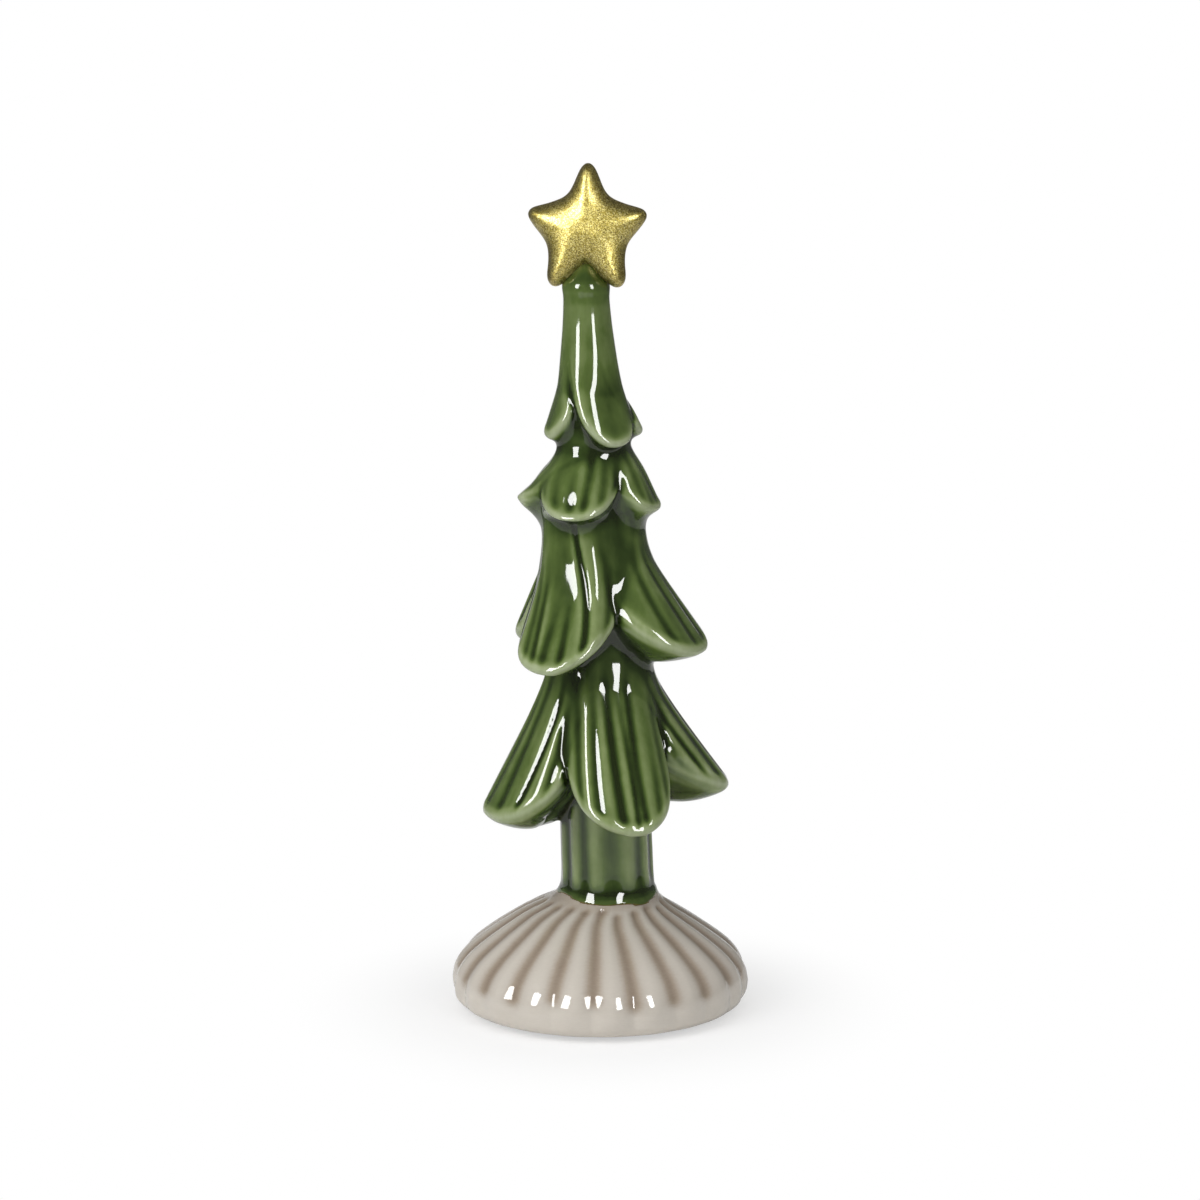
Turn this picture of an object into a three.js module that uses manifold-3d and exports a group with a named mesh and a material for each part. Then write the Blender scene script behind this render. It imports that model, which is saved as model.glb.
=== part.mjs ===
// A tabletop Christmas tree in glazed stoneware, about 31 cm tall: a fluted dome foot, a ribbed hollow trunk that runs
// up through the tree, four tiers of fluted boughs pressed on round it, and a puffed five-pointed star on top.
// Sizes are in millimetres, +Z is up, the front faces -Y, and the origin is the middle of the foot on the table.

import * as THREE from "three";
import { mergeVertices } from "three/addons/utils/BufferGeometryUtils.js";
import Module from "manifold-3d";

const wasm = await Module();
wasm.setup();

// The clearance left where one piece is luted to the next
const SEAT_GAP = 0.4;

// The dome foot
const DOME_RADIUS = 55;
const DOME_HEIGHT = 41.5;
const DOME_WALL = 5;
const NECK_FILLET = 4.2;
const RIM_HEIGHT = 7;
const FOOT_TUCK = 4.5;
const FOOT_RING_WIDTH = 4.5;
const FOOT_RING_HEIGHT = 3;
const FLUTE_COUNT = 22;
const FLUTE_TURN = -3;
const FLUTE_DEPTH = 1.5;
const FLUTE_TOP_OFFSET = 3.5;
const FLUTE_FADE = 5;

// The trunk, how far it runs up inside the lowest boughs, and the core that it becomes there
const TRUNK_RADIUS = 17.1;
const TRUNK_WALL = 4.5;
const TRUNK_RIB_COUNT = 11;
const TRUNK_RIB_DEPTH = 0.8;
const TRUNK_COVERED = 12;
const CORE_WAIST = 9.5;
const CORE_HEAD = 5.5;
const CORE_TIP = 13;
const BORE_PAST_WAIST = 24;

// How far the tree's axis stands off the dome's at the neck and at the head, because the tree leans a little
const TRUNK_OFFSET = 2.8;
const HEAD_OFFSET = -5;

// The boughs. In plan a bough is a lobe, longer from its middle to its tip than it is wide to each side, and behind
// the tree's axis it is cut off.
const PLAN_POWER = 2.3;
const LOBE_STRETCH = 1.05;
const BOUGH_BACK = 2;
const BOUGH_ROUNDING = 4.5;
const BOUGH_FLUTE_DEPTH = 1;
const FLUTED_ARC = 84;
const BOUGH_POLE = 6;
const CURL_POWER = 2.7;

// Each tier's common sizes: how high its underside is above the dome, its tips above that and its roots above the
// tips, the boughs' reach from the axis and half width at root and tip, how sharply they flare, how far the rim curls
// up at the sides, how high the top closes, and the flutes of a bough
const LOWER_TIER = {
  above: 22.5, tipRise: 11, rootRise: 53, rootReach: 17.5, tipReach: 45, rootHalf: 14, tipHalf: 19.5,
  flare: 1.3, curl: 23, shoulder: 6, flutes: 7,
};
const MIDDLE_TIER = {
  above: 82.5, tipRise: 11, rootRise: 55, rootReach: 15, tipReach: 41, rootHalf: 13, tipHalf: 19.5,
  flare: 1.5, curl: 24, shoulder: 6, flutes: 7,
};
const UPPER_TIER = {
  above: 136.5, tipRise: 8, rootRise: 38, rootReach: 14, tipReach: 23.5, rootHalf: 11, tipHalf: 14.5,
  flare: 1.6, curl: 13, shoulder: 6, flutes: 5,
};
const SPIRE_TIER = {
  above: 164.5, tipRise: 6, rootRise: 51, rootReach: 8.4, tipReach: 18, rootHalf: 7.6, tipHalf: 12,
  flare: 1.4, curl: 24, shoulder: 9, flutes: 3,
};

// Every bough, with its compass angle from the front towards +X in degrees, and where it departs from its tier: in
// reach and width as shares of the tier's, and in how far it sags as a share of the tier's rise from tip to root.
// A bough is trimmed by the ones that stand before it in this list, so those lie over it.
const BOUGHS = [
  { name: "spire_bough_front_right", tier: SPIRE_TIER, azimuth: 28 },
  { name: "spire_bough_left", tier: SPIRE_TIER, azimuth: -60, reach: 1.03, flare: 2 },
  { name: "spire_bough_right", tier: SPIRE_TIER, azimuth: 112, reach: 1.05, sag: 0.04 },
  { name: "spire_bough_back", tier: SPIRE_TIER, azimuth: -155 },
  { name: "upper_bough_front", tier: UPPER_TIER, azimuth: -14 },
  { name: "upper_bough_right", tier: UPPER_TIER, azimuth: 75, flutes: 3 },
  { name: "upper_bough_left", tier: UPPER_TIER, azimuth: -103, reach: 1.32, sag: 0.08, flare: 3, flutes: 3 },
  { name: "upper_bough_back", tier: UPPER_TIER, azimuth: 165 },
  { name: "middle_bough_right", tier: MIDDLE_TIER, azimuth: 66, width: 1.05 },
  { name: "middle_bough_left", tier: MIDDLE_TIER, azimuth: -33, reach: 1.02, sag: 0.08, flare: 1.7 },
  { name: "middle_bough_back_left", tier: MIDDLE_TIER, azimuth: -122, reach: 0.78, flare: 1.9 },
  { name: "middle_bough_back_right", tier: MIDDLE_TIER, azimuth: 156 },
  { name: "lower_bough_front", tier: LOWER_TIER, azimuth: 17 },
  { name: "lower_bough_left", tier: LOWER_TIER, azimuth: -73, reach: 1.02, sag: 0.05, flare: 1.5 },
  { name: "lower_bough_right", tier: LOWER_TIER, azimuth: 104, reach: 1.03, sag: -0.03, flare: 1.1 },
  { name: "lower_bough_back", tier: LOWER_TIER, azimuth: -165 },
].map(sized);

// A bough with its tier's sizes, changed by its own shares, and with its heights above the table.
function sized({ tier, reach = 1, width = 1, sag = 0, ...own }) {
  const tipReach = tier.tipReach * reach;
  const tipHalf = tier.tipHalf * width;
  const levelZ = DOME_HEIGHT + tier.above;
  const underZ = levelZ - tier.rootRise * sag;
  const tipZ = underZ + tier.tipRise;
  const rootZ = levelZ + tier.tipRise + tier.rootRise;
  return { ...tier, ...own, tipReach, tipHalf, centre: tipReach - tipHalf * LOBE_STRETCH, underZ, tipZ, rootZ };
}

// The trunk's and the core's heights above the table: the waist is at the tips of the top tier and the head at its root
const TRUNK_TOP_Z = DOME_HEIGHT + LOWER_TIER.above + TRUNK_COVERED;
const CORE_WAIST_Z = DOME_HEIGHT + SPIRE_TIER.above + SPIRE_TIER.tipRise;
const CORE_HEAD_Z = CORE_WAIST_Z + SPIRE_TIER.rootRise;
const CORE_TIP_Z = CORE_HEAD_Z + CORE_TIP;

// The star
const STAR_WIDTH = 43.6;
const STAR_HEIGHT = 45;
const STAR_THICKNESS = 15;
const STAR_ABOVE_CORE = 7;
const STAR_SHIFT = 1.5;
const STAR_YAW = -9;
const STAR_LEAN = 6;
const STAR_EDGE_POWER = 2.3;

// The right half of the star's outline, from its top point to the notch between its legs, as shares of half its width
// and half its height
const STAR_HALF_OUTLINE = [
  [0, 1.1], [0.15, 0.96], [0.34, 0.6], [0.6, 0.46], [0.93, 0.35], [1, 0.22], [0.89, 0.07],
  [0.66, -0.18], [0.62, -0.42], [0.65, -0.67], [0.6, -0.87], [0.43, -0.94], [0.23, -0.76], [0, -0.5],
];

// How finely the forms are cut. A flute has a groove in its middle, this share of its width to each side, and the
// rest of it is ridge.
const GROOVE_SHARE = 0.28;
const FLUTE_COLUMNS = [0.5 - GROOVE_SHARE, 0.5, 0.5 + GROOVE_SHARE];
const PLAIN_COLUMNS = 5;
const STRIP_STEP = 13;
const PLAIN_SIDES = 18;
const DOME_RINGS = 10;
const STAR_COLUMNS = 30;

const lerp = (a, b, share) => a + (b - a) * share;
const smooth = (share) => {
  const s = THREE.MathUtils.clamp(share, 0, 1);
  return s * s * (3 - 2 * s);
};
const radians = THREE.MathUtils.degToRad;
const UP = new THREE.Vector3(0, 0, 1);

// How far the tree's axis stands off the dome's, which it leaves and crosses because the tree leans a little.
function axisOffset(z) {
  const leaning = (z - DOME_HEIGHT) / (CORE_HEAD_Z - DOME_HEIGHT);
  return z < DOME_HEIGHT
    ? TRUNK_OFFSET * smooth(z / DOME_HEIGHT * 5 - 4)
    : lerp(TRUNK_OFFSET, HEAD_OFFSET, leaning);
}

// A closed surface through rings of equally many points, closed at each end by a fan to one point. Seen from beyond
// the starting point, each ring runs anticlockwise, so that the faces look outwards.
function loft(start, rings, end) {
  const points = [start, ...rings.flat(), end];
  const count = rings[0].length;
  const faces = [];
  for (let i = 0; i < count; i++) {
    const next = (i + 1) % count;
    faces.push(0, 1 + i, 1 + next);
    for (let r = 0; r + 1 < rings.length; r++) {
      const upper = 1 + r * count;
      const lower = upper + count;
      faces.push(upper + i, lower + i, lower + next, upper + i, lower + next, upper + next);
    }
    const last = 1 + (rings.length - 1) * count;
    faces.push(points.length - 1, last + next, last + i);
  }
  return new THREE.BufferGeometry().setFromPoints(points).setIndex(faces);
}

// A loft's surface moved outwards everywhere by the clearance of a seat.
function swollen(surface) {
  const moved = surface.clone();
  moved.computeVertexNormals();
  const { position, normal } = moved.attributes;
  for (let i = 0; i < position.count; i++) {
    const point = new THREE.Vector3().fromBufferAttribute(position, i);
    const outward = new THREE.Vector3().fromBufferAttribute(normal, i);
    position.setXYZ(i, ...point.addScaledVector(outward, SEAT_GAP));
  }
  return moved;
}

// A closed surface as a solid that can be joined and cut.
function solid(surface) {
  const bare = surface.clone().deleteAttribute("normal");
  const { attributes, index } = mergeVertices(bare, 1e-4);
  return new wasm.Manifold(new wasm.Mesh({
    numProp: 3, vertProperties: attributes.position.array, triVerts: new Uint32Array(index.array),
  }));
}

// A body with others cut from it, without the crumbs that a grazing cut can leave.
function trimmed(body, others) {
  const parts = others.reduce((left, other) => left.subtract(other), body).decompose();
  return parts.reduce((largest, part) => (part.volume() > largest.volume() ? part : largest));
}

// How deep the surface lies, from 0 on a ridge to 1 in a groove, after a number of flutes.
function grooveAt(flutes) {
  return Math.max(0, 1 - Math.abs(flutes - Math.floor(flutes) - 0.5) / GROOVE_SHARE);
}

// The angles of the columns of a fluted band, from where it starts, over as many flutes of the given width.
function fluteAngles(start, flutes, width) {
  return Array.from({ length: flutes }, (_, i) => FLUTE_COLUMNS.map((place) => start + (i + place) * width)).flat();
}

// A named mesh from a solid, with the look of one glaze.
function mesh(name, body, material) {
  const { vertProperties, triVerts } = body.getMesh();
  const geometry = new THREE.BufferGeometry()
    .setAttribute("position", new THREE.BufferAttribute(new Float32Array(vertProperties), 3))
    .setIndex(new THREE.BufferAttribute(new Uint32Array(triVerts), 1));
  geometry.computeVertexNormals();
  const made = new THREE.Mesh(geometry, material);
  made.name = name;
  return made;
}

// A ring at height z round the tree's axis, with its radius given for each angle.
function ring(z, angles, radiusAt) {
  return angles.map((angle) => {
    const radius = radiusAt(angle);
    return new THREE.Vector3(axisOffset(z) + radius * Math.cos(angle), radius * Math.sin(angle), z);
  });
}

// Evenly spaced angles for the plain rings of the insides
const PLAIN_ANGLES = Array.from({ length: PLAIN_SIDES }, (_, i) => (i / PLAIN_SIDES) * 2 * Math.PI);

// The trunk's radius at height z: straight, then drawn in to the core inside the boughs, and the point that it ends in.
function coreRadius(z) {
  const up = (from, to) => (z - from) / (to - from);
  if (z < TRUNK_TOP_Z) return TRUNK_RADIUS;
  if (z < CORE_WAIST_Z) return lerp(TRUNK_RADIUS - TRUNK_RIB_DEPTH, CORE_WAIST, up(TRUNK_TOP_Z, CORE_WAIST_Z));
  if (z < CORE_HEAD_Z) return lerp(CORE_WAIST, CORE_HEAD, up(CORE_WAIST_Z, CORE_HEAD_Z));
  return CORE_HEAD * (1 - up(CORE_HEAD_Z, CORE_TIP_Z) ** 1.3);
}

// A surface round the tree's axis through the given heights, from the top down.
function turned(heights, angles, radiusAt) {
  const [top, ...lower] = heights;
  const rings = lower.map((z) => ring(z, angles, (angle) => radiusAt(z, angle)));
  const foot = lower.at(-1);
  return loft(new THREE.Vector3(axisOffset(top), 0, top), rings, new THREE.Vector3(axisOffset(foot), 0, foot));
}

// The heights at which the trunk and core are drawn
const CORE_HEIGHTS = [
  CORE_TIP_Z, lerp(CORE_HEAD_Z, CORE_TIP_Z, 0.85), lerp(CORE_HEAD_Z, CORE_TIP_Z, 0.5), CORE_HEAD_Z, CORE_WAIST_Z,
  lerp(TRUNK_TOP_Z, CORE_WAIST_Z, 0.3), TRUNK_TOP_Z, lerp(DOME_HEIGHT, TRUNK_TOP_Z, 0.5), DOME_HEIGHT + SEAT_GAP,
];

// The outside of the trunk, ribbed as far as it shows, and of the core that it becomes.
function coreSurface() {
  const angles = fluteAngles(0, TRUNK_RIB_COUNT, (2 * Math.PI) / TRUNK_RIB_COUNT);
  return turned(CORE_HEIGHTS, angles, (z, angle) => {
    const depth = z < TRUNK_TOP_Z ? TRUNK_RIB_DEPTH : 0;
    return coreRadius(z) - depth * grooveAt((TRUNK_RIB_COUNT * angle) / (2 * Math.PI));
  });
}

// The smooth round socket that the core sits in, its flats clear of the core's widest places.
function socketSurface() {
  const spread = 1 / Math.cos(Math.PI / PLAIN_SIDES);
  return turned([CORE_TIP_Z + 2 * SEAT_GAP, ...CORE_HEIGHTS], PLAIN_ANGLES, (z) => coreRadius(z) * spread + SEAT_GAP);
}

// The hollow that draining the mould leaves inside the trunk, open through the dome below.
function boreSurface() {
  const top = CORE_WAIST_Z + BORE_PAST_WAIST;
  const middle = lerp(TRUNK_TOP_Z, CORE_WAIST_Z, 0.3);
  const heights = [top, lerp(top, CORE_WAIST_Z, 0.25), CORE_WAIST_Z, middle, TRUNK_TOP_Z, DOME_HEIGHT, RIM_HEIGHT];
  return turned(heights, PLAIN_ANGLES, (z) => coreRadius(Math.max(z, DOME_HEIGHT)) - TRUNK_WALL);
}

// The dome's profile as a smooth curve of radius and height, from the neck down to the foot ring.
const domeProfile = new THREE.SplineCurve([
  [TRUNK_RADIUS, DOME_HEIGHT],
  [TRUNK_RADIUS + NECK_FILLET * 0.2, DOME_HEIGHT - NECK_FILLET * 0.5],
  [TRUNK_RADIUS + NECK_FILLET, DOME_HEIGHT - NECK_FILLET],
  [DOME_RADIUS * 0.555, DOME_HEIGHT * 0.8],
  [DOME_RADIUS * 0.75, DOME_HEIGHT * 0.65],
  [DOME_RADIUS * 0.89, DOME_HEIGHT * 0.47],
  [DOME_RADIUS * 0.97, DOME_HEIGHT * 0.3],
  [DOME_RADIUS, RIM_HEIGHT],
  [DOME_RADIUS - FOOT_TUCK * 0.3, RIM_HEIGHT * 0.35],
  [DOME_RADIUS - FOOT_TUCK, 0],
].map(([radius, height]) => new THREE.Vector2(radius, height)));

// The fluted dome: its profile swept round, with shallow grooves that start below the neck and fade out at the rim.
function domeFoot() {
  const turn = radians(FLUTE_TURN);
  const angles = fluteAngles(turn, FLUTE_COUNT, (2 * Math.PI) / FLUTE_COUNT);
  const rings = domeProfile.getSpacedPoints(DOME_RINGS).map(({ x: radius, y: z }) => ring(z, angles, (angle) => {
    const start = smooth((radius - TRUNK_RADIUS - FLUTE_TOP_OFFSET) / FLUTE_FADE);
    const stop = smooth((z - FOOT_RING_HEIGHT) / FLUTE_FADE);
    return radius - FLUTE_DEPTH * start * stop * grooveAt((FLUTE_COUNT * (angle - turn)) / (2 * Math.PI));
  }));
  return solid(loft(new THREE.Vector3(TRUNK_OFFSET, 0, DOME_HEIGHT), rings, new THREE.Vector3(0, 0, 0)));
}

// The hollow under the dome, which follows its outside about one wall thickness in.
function domeHollow() {
  const mouth = DOME_RADIUS - FOOT_TUCK - FOOT_RING_WIDTH;
  const inner = domeProfile.getSpacedPoints(DOME_RINGS)
    .filter(({ x, y }) => x > TRUNK_RADIUS + DOME_WALL && y > RIM_HEIGHT + DOME_WALL)
    .map(({ x, y }) => [Math.min(x - DOME_WALL * 0.55, mouth), y - DOME_WALL - FLUTE_DEPTH]);
  const profile = [...inner, [mouth, FOOT_RING_HEIGHT], [mouth, -DOME_WALL]];
  const rings = profile.map(([radius, z]) => ring(z, PLAIN_ANGLES, () => radius));
  const top = inner[0][1];
  return solid(loft(new THREE.Vector3(axisOffset(top), 0, top), rings, new THREE.Vector3(0, 0, -DOME_WALL)));
}

// A point of a bough's skin, `angle` round its lobe and `down` from the root at 0 to the tip at 1, in the bough's own
// frame: x outward from the tree's axis, y across, z up.
function skinPoint(bough, angle, down) {
  const flare = Math.min(down, 1) ** bough.flare;
  const centre = bough.centre * flare;
  const length = lerp(bough.rootReach, bough.tipReach, flare) - centre;
  const half = lerp(bough.rootHalf, bough.tipHalf, down);
  const c = Math.cos(angle);
  const s = Math.sin(angle);
  const round = (Math.abs(c) ** PLAN_POWER + Math.abs(s) ** PLAN_POWER) ** (-1 / PLAN_POWER);
  const arc = radians(FLUTED_ARC);
  const fluted = Math.abs(angle) < arc ? grooveAt(((angle / arc + 1) / 2) * bough.flutes) : 0;
  const groove = BOUGH_FLUTE_DEPTH * fluted * smooth((0.97 - down) / 0.2);
  return new THREE.Vector3(
    centre + (length * round - groove) * c,
    (half * round - groove) * s,
    lerp(bough.rootZ, bough.tipZ, down),
  );
}

// The height of a bough's underside: flat by the trunk, rising to the tip, and curling up to the sides.
function undersideZ(bough, x, y) {
  const out = Math.max(0, (x - TRUNK_RADIUS * 0.6) / (bough.tipReach - TRUNK_RADIUS * 0.6));
  const rise = bough.curl * (Math.abs(y) / bough.tipHalf) ** CURL_POWER;
  return bough.underZ + (bough.tipZ - bough.underZ) * out ** 2 + rise;
}

// How far down the skin a strip meets the underside.
function rimDown(bough, angle) {
  let low = 0;
  let high = 1.3;
  for (let i = 0; i < 24; i++) {
    const middle = (low + high) / 2;
    const p = skinPoint(bough, angle, middle);
    if (p.z > undersideZ(bough, p.x, p.y)) low = middle;
    else high = middle;
  }
  return low;
}

// One strip of a bough, down its skin, round the rim and back under it towards the pole inside the core.
function strip(bough, angle) {
  const end = rimDown(bough, angle);
  const skin = (share) => skinPoint(bough, angle, end * share);
  const rim = skin(1);
  const under = (share) => {
    const x = lerp(rim.x, BOUGH_POLE, share);
    const y = rim.y * (1 - share);
    return new THREE.Vector3(x, y, undersideZ(bough, x, y));
  };
  const skinShare = Math.min(0.3, BOUGH_ROUNDING / rim.distanceTo(skin(0)));
  const underShare = Math.min(0.4, BOUGH_ROUNDING / rim.distanceTo(under(1)));
  const corner = new THREE.QuadraticBezierCurve3(skin(1 - skinShare), rim, under(underShare));
  const stops = Math.max(2, Math.round((bough.rootZ - bough.tipZ) / STRIP_STEP));
  const straight = Array.from({ length: stops }, (_, i) => skin((i / stops) * (1 - skinShare)));
  return [...straight, ...corner.getPoints(2), under(lerp(underShare, 1, 0.45))];
}

// A whole bough before it is trimmed: its strips side by side, with the top drawn in to a shoulder.
function boughSurface(bough) {
  const arc = radians(FLUTED_ARC);
  const fluted = fluteAngles(-arc, bough.flutes, (2 * arc) / bough.flutes);
  const plain = Array.from({ length: PLAIN_COLUMNS + 1 }, (_, i) => lerp(arc, 2 * Math.PI - arc, i / PLAIN_COLUMNS));
  const angles = [...fluted, ...plain].map((angle) => (angle > Math.PI ? angle - 2 * Math.PI : angle));
  const strips = angles.map((angle) => strip(bough, angle));
  const rings = strips[0].map((_, i) => strips.map((points) => points[i]));
  const middle = rings[0].reduce((sum, p) => sum + p.x, 0) / angles.length;
  const drawn = (p) => new THREE.Vector3(lerp(middle, p.x, 0.65), p.y * 0.65, p.z + bough.shoulder * 0.7);
  const top = new THREE.Vector3(middle, 0, bough.rootZ + bough.shoulder);
  const bottom = new THREE.Vector3(BOUGH_POLE, 0, undersideZ(bough, BOUGH_POLE, 0));
  const place = (p) => outward(bough).multiplyScalar(p.x)
    .addScaledVector(across(bough), p.y)
    .add(new THREE.Vector3(axisOffset(p.z), 0, p.z));
  return loft(place(top), [rings[0].map(drawn), ...rings].map((points) => points.map(place)), place(bottom));
}

// A bough's own directions, seen from above: out from the tree's axis, and across it.
const outward = (bough) => new THREE.Vector3(0, -1, 0).applyAxisAngle(UP, radians(bough.azimuth));
const across = (bough) => new THREE.Vector3(1, 0, 0).applyAxisAngle(UP, radians(bough.azimuth));

// A bough cut off by an upright plane behind the tree's axis, so that it holds to the core from its own side only.
function fronted(body, bough, allowance) {
  const direction = outward(bough);
  const axis = direction.x * axisOffset(lerp(bough.tipZ, bough.rootZ, 0.5));
  return body.trimByPlane(direction.toArray(), axis - BOUGH_BACK - allowance);
}

// The puffed star: its outline drawn in to the middle of each face, from the back to the front.
function starSurface() {
  const right = STAR_HALF_OUTLINE.map(([x, y]) => new THREE.Vector3((x * STAR_WIDTH) / 2, 0, (y * STAR_HEIGHT) / 2));
  const left = right.slice(1, -1).reverse().map((p) => new THREE.Vector3(-p.x, 0, p.z));
  const outline = new THREE.CatmullRomCurve3([...right, ...left], true).getSpacedPoints(STAR_COLUMNS).slice(0, -1);
  const steps = [0.4, 0.7, 0.92, 1, 0.92, 0.7, 0.4];
  const rings = steps.map((share, i) => {
    const puff = (1 - share ** STAR_EDGE_POWER) ** (1 / STAR_EDGE_POWER);
    const side = i < steps.length / 2 ? 1 : -1;
    return outline.map((p) => new THREE.Vector3(p.x * share, (side * STAR_THICKNESS * puff) / 2, p.z * share));
  });
  const centreZ = CORE_TIP_Z + STAR_ABOVE_CORE;
  const place = new THREE.Matrix4()
    .makeRotationZ(radians(STAR_YAW))
    .multiply(new THREE.Matrix4().makeRotationX(radians(-STAR_LEAN)))
    .setPosition(axisOffset(centreZ) + STAR_SHIFT, 0, centreZ);
  const back = new THREE.Vector3(0, STAR_THICKNESS / 2, 0);
  const front = new THREE.Vector3(0, -STAR_THICKNESS / 2, 0);
  return loft(back, rings, front).applyMatrix4(place);
}

// The looks of the three surfaces, each made anew for the piece that wears it
const greenGlaze = () => new THREE.MeshStandardMaterial({ color: "#5f7d45", roughness: 0.08, metalness: 0 });
const sandGlaze = () => new THREE.MeshStandardMaterial({ color: "#bdb1a2", roughness: 0.1, metalness: 0 });
const goldPaint = () => new THREE.MeshStandardMaterial({ color: "#b0922c", roughness: 0.35, metalness: 1 });

const tree = new THREE.Group();
const bore = solid(boreSurface());
tree.add(mesh("base_dome", trimmed(domeFoot(), [domeHollow(), bore]), sandGlaze()));
tree.add(mesh("trunk_core", trimmed(solid(coreSurface()), [bore]), greenGlaze()));

let placed = solid(socketSurface());
for (const bough of BOUGHS) {
  const surface = boughSurface(bough);
  const body = fronted(solid(surface), bough, 0);
  tree.add(mesh(bough.name, trimmed(body, [placed]), greenGlaze()));
  placed = placed.add(fronted(solid(swollen(surface)), bough, SEAT_GAP));
}

tree.add(mesh("star", trimmed(solid(starSurface()), [placed]), goldPaint()));

export default tree;
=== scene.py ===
import math

import bpy
import numpy as np
from mathutils import Matrix, Vector


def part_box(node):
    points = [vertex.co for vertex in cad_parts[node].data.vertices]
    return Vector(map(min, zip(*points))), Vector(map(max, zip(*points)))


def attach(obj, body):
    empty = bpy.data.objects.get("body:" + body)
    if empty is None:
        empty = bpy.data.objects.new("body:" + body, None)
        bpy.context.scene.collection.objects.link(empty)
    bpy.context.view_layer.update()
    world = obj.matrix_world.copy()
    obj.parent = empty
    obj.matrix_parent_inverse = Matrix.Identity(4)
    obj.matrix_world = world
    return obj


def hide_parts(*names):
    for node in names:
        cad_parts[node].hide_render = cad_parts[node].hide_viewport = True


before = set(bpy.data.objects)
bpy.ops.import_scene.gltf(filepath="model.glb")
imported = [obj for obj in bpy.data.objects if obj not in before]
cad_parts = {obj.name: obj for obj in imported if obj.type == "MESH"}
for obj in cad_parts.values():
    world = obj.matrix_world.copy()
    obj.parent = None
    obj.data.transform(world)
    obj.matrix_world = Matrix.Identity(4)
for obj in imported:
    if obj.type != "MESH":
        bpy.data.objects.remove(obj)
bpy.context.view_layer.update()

# A glazed stoneware Christmas tree for a table: a fluted sand-glazed foot, a green-glazed tree of folded
# boughs and a star in gold paint. Lengths are in metres, +Z is up, and the front faces -Y.

bl_info = {
    "name": "Glazed Tabletop Tree",
    "version": (1, 0, 0),
    "blender": (4, 5, 0),
    "location": "View3D > Sidebar > Tree",
    "description": "Models a glazed stoneware tree on a fluted foot, with a gold star, in a small studio",
    "category": "Add Mesh",
}

MM = 0.001

FOOT_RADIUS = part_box("base_dome")[1].x
TREE_NODES = [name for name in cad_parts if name.endswith(("core", "front", "left", "right", "back"))]

# The height in millimetres of the neck, where the foot ends and the trunk begins
NECK_HEIGHT = 41.5
NECK_Z = NECK_HEIGHT * MM


def linear(hex_colour):
    """An sRGB hex colour as the linear red, green and blue that Blender works in."""
    channels = [int(hex_colour[i : i + 2], 16) / 255 for i in (1, 3, 5)]
    return tuple(c / 12.92 if c <= 0.04045 else ((c + 0.055) / 1.055) ** 2.4 for c in channels)


def length(name, description, default):
    """The settings of a property that holds a length."""
    return dict(name=name, description=description, default=default, min=0.0, unit="LENGTH", precision=5)


def count(name, description, default):
    """The settings of a property that holds how many of something go round."""
    return dict(name=name, description=description, default=default, min=3)


def colour(name, description, default):
    """The settings of a property that holds a colour."""
    value = linear(default)
    return dict(name=name, description=description, default=value, size=3, subtype="COLOR", min=0, max=1)


class TreeSettings(bpy.types.PropertyGroup):
    """The green tree: its trunk and its boughs."""

    trunk_ribs: bpy.props.IntProperty(**count("Trunk ribs", "How many ribs go round", 11))
    rib_depth: bpy.props.FloatProperty(**length("Rib depth", "How deep the trunk's grooves are", 0.95 * MM))
    groove_depth: bpy.props.FloatProperty(**length("Groove depth", "How deep a bough is grooved", 0.75 * MM))
    groove_width: bpy.props.FloatProperty(**length("Groove width", "Half the width of a groove", 1.8 * MM))
    lip: bpy.props.FloatProperty(**length("Lip", "How far a bough's rim stands out", 0.3 * MM))
    lap_depth: bpy.props.FloatProperty(
        **length("Lap depth", "How far a bough sinks beside one that lies over it", 1.4 * MM)
    )
    mesh_step: bpy.props.FloatProperty(**length("Mesh step", "Size of the faces of the skin", 0.75 * MM))


class FootSettings(bpy.types.PropertyGroup):
    """The fluted dome that the tree stands on."""

    radius: bpy.props.FloatProperty(**length("Radius", "The dome's widest radius", FOOT_RADIUS))
    height: bpy.props.FloatProperty(**length("Height", "From the table to the neck", NECK_Z))
    flutes: bpy.props.IntProperty(**count("Flutes", "How many flutes go round", 22))
    flute_depth: bpy.props.FloatProperty(**length("Flute depth", "How deep the grooves are", 1.5 * MM))
    flute_width: bpy.props.FloatProperty(**length("Flute width", "Half the width of a groove", 3.3 * MM))


class StarSettings(bpy.types.PropertyGroup):
    """The puffed star on top."""

    width: bpy.props.FloatProperty(**length("Width", "Across the two upper side arms", 43.6 * MM))
    height: bpy.props.FloatProperty(**length("Height", "Twice the rise from middle to top", 50.2 * MM))
    thickness: bpy.props.FloatProperty(**length("Thickness", "From front to back, in the middle", 15 * MM))


class LookSettings(bpy.types.PropertyGroup):
    """The colours of the glazes and of the paint."""

    green_thin: bpy.props.FloatVectorProperty(**colour("Green, thin", "Glaze on ridges and rims", "#bcc6a2"))
    # The thick green is also the colour of the painted shade in creases, low on the trunk and under the star
    green_thick: bpy.props.FloatVectorProperty(**colour("Green, thick", "Glaze in grooves", "#202c0a"))
    sand: bpy.props.FloatVectorProperty(**colour("Sand glaze", "The glaze of the foot", "#d0c8bd"))
    gold: bpy.props.FloatVectorProperty(**colour("Gold paint", "The paint of the star", "#b3a040"))


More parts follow.
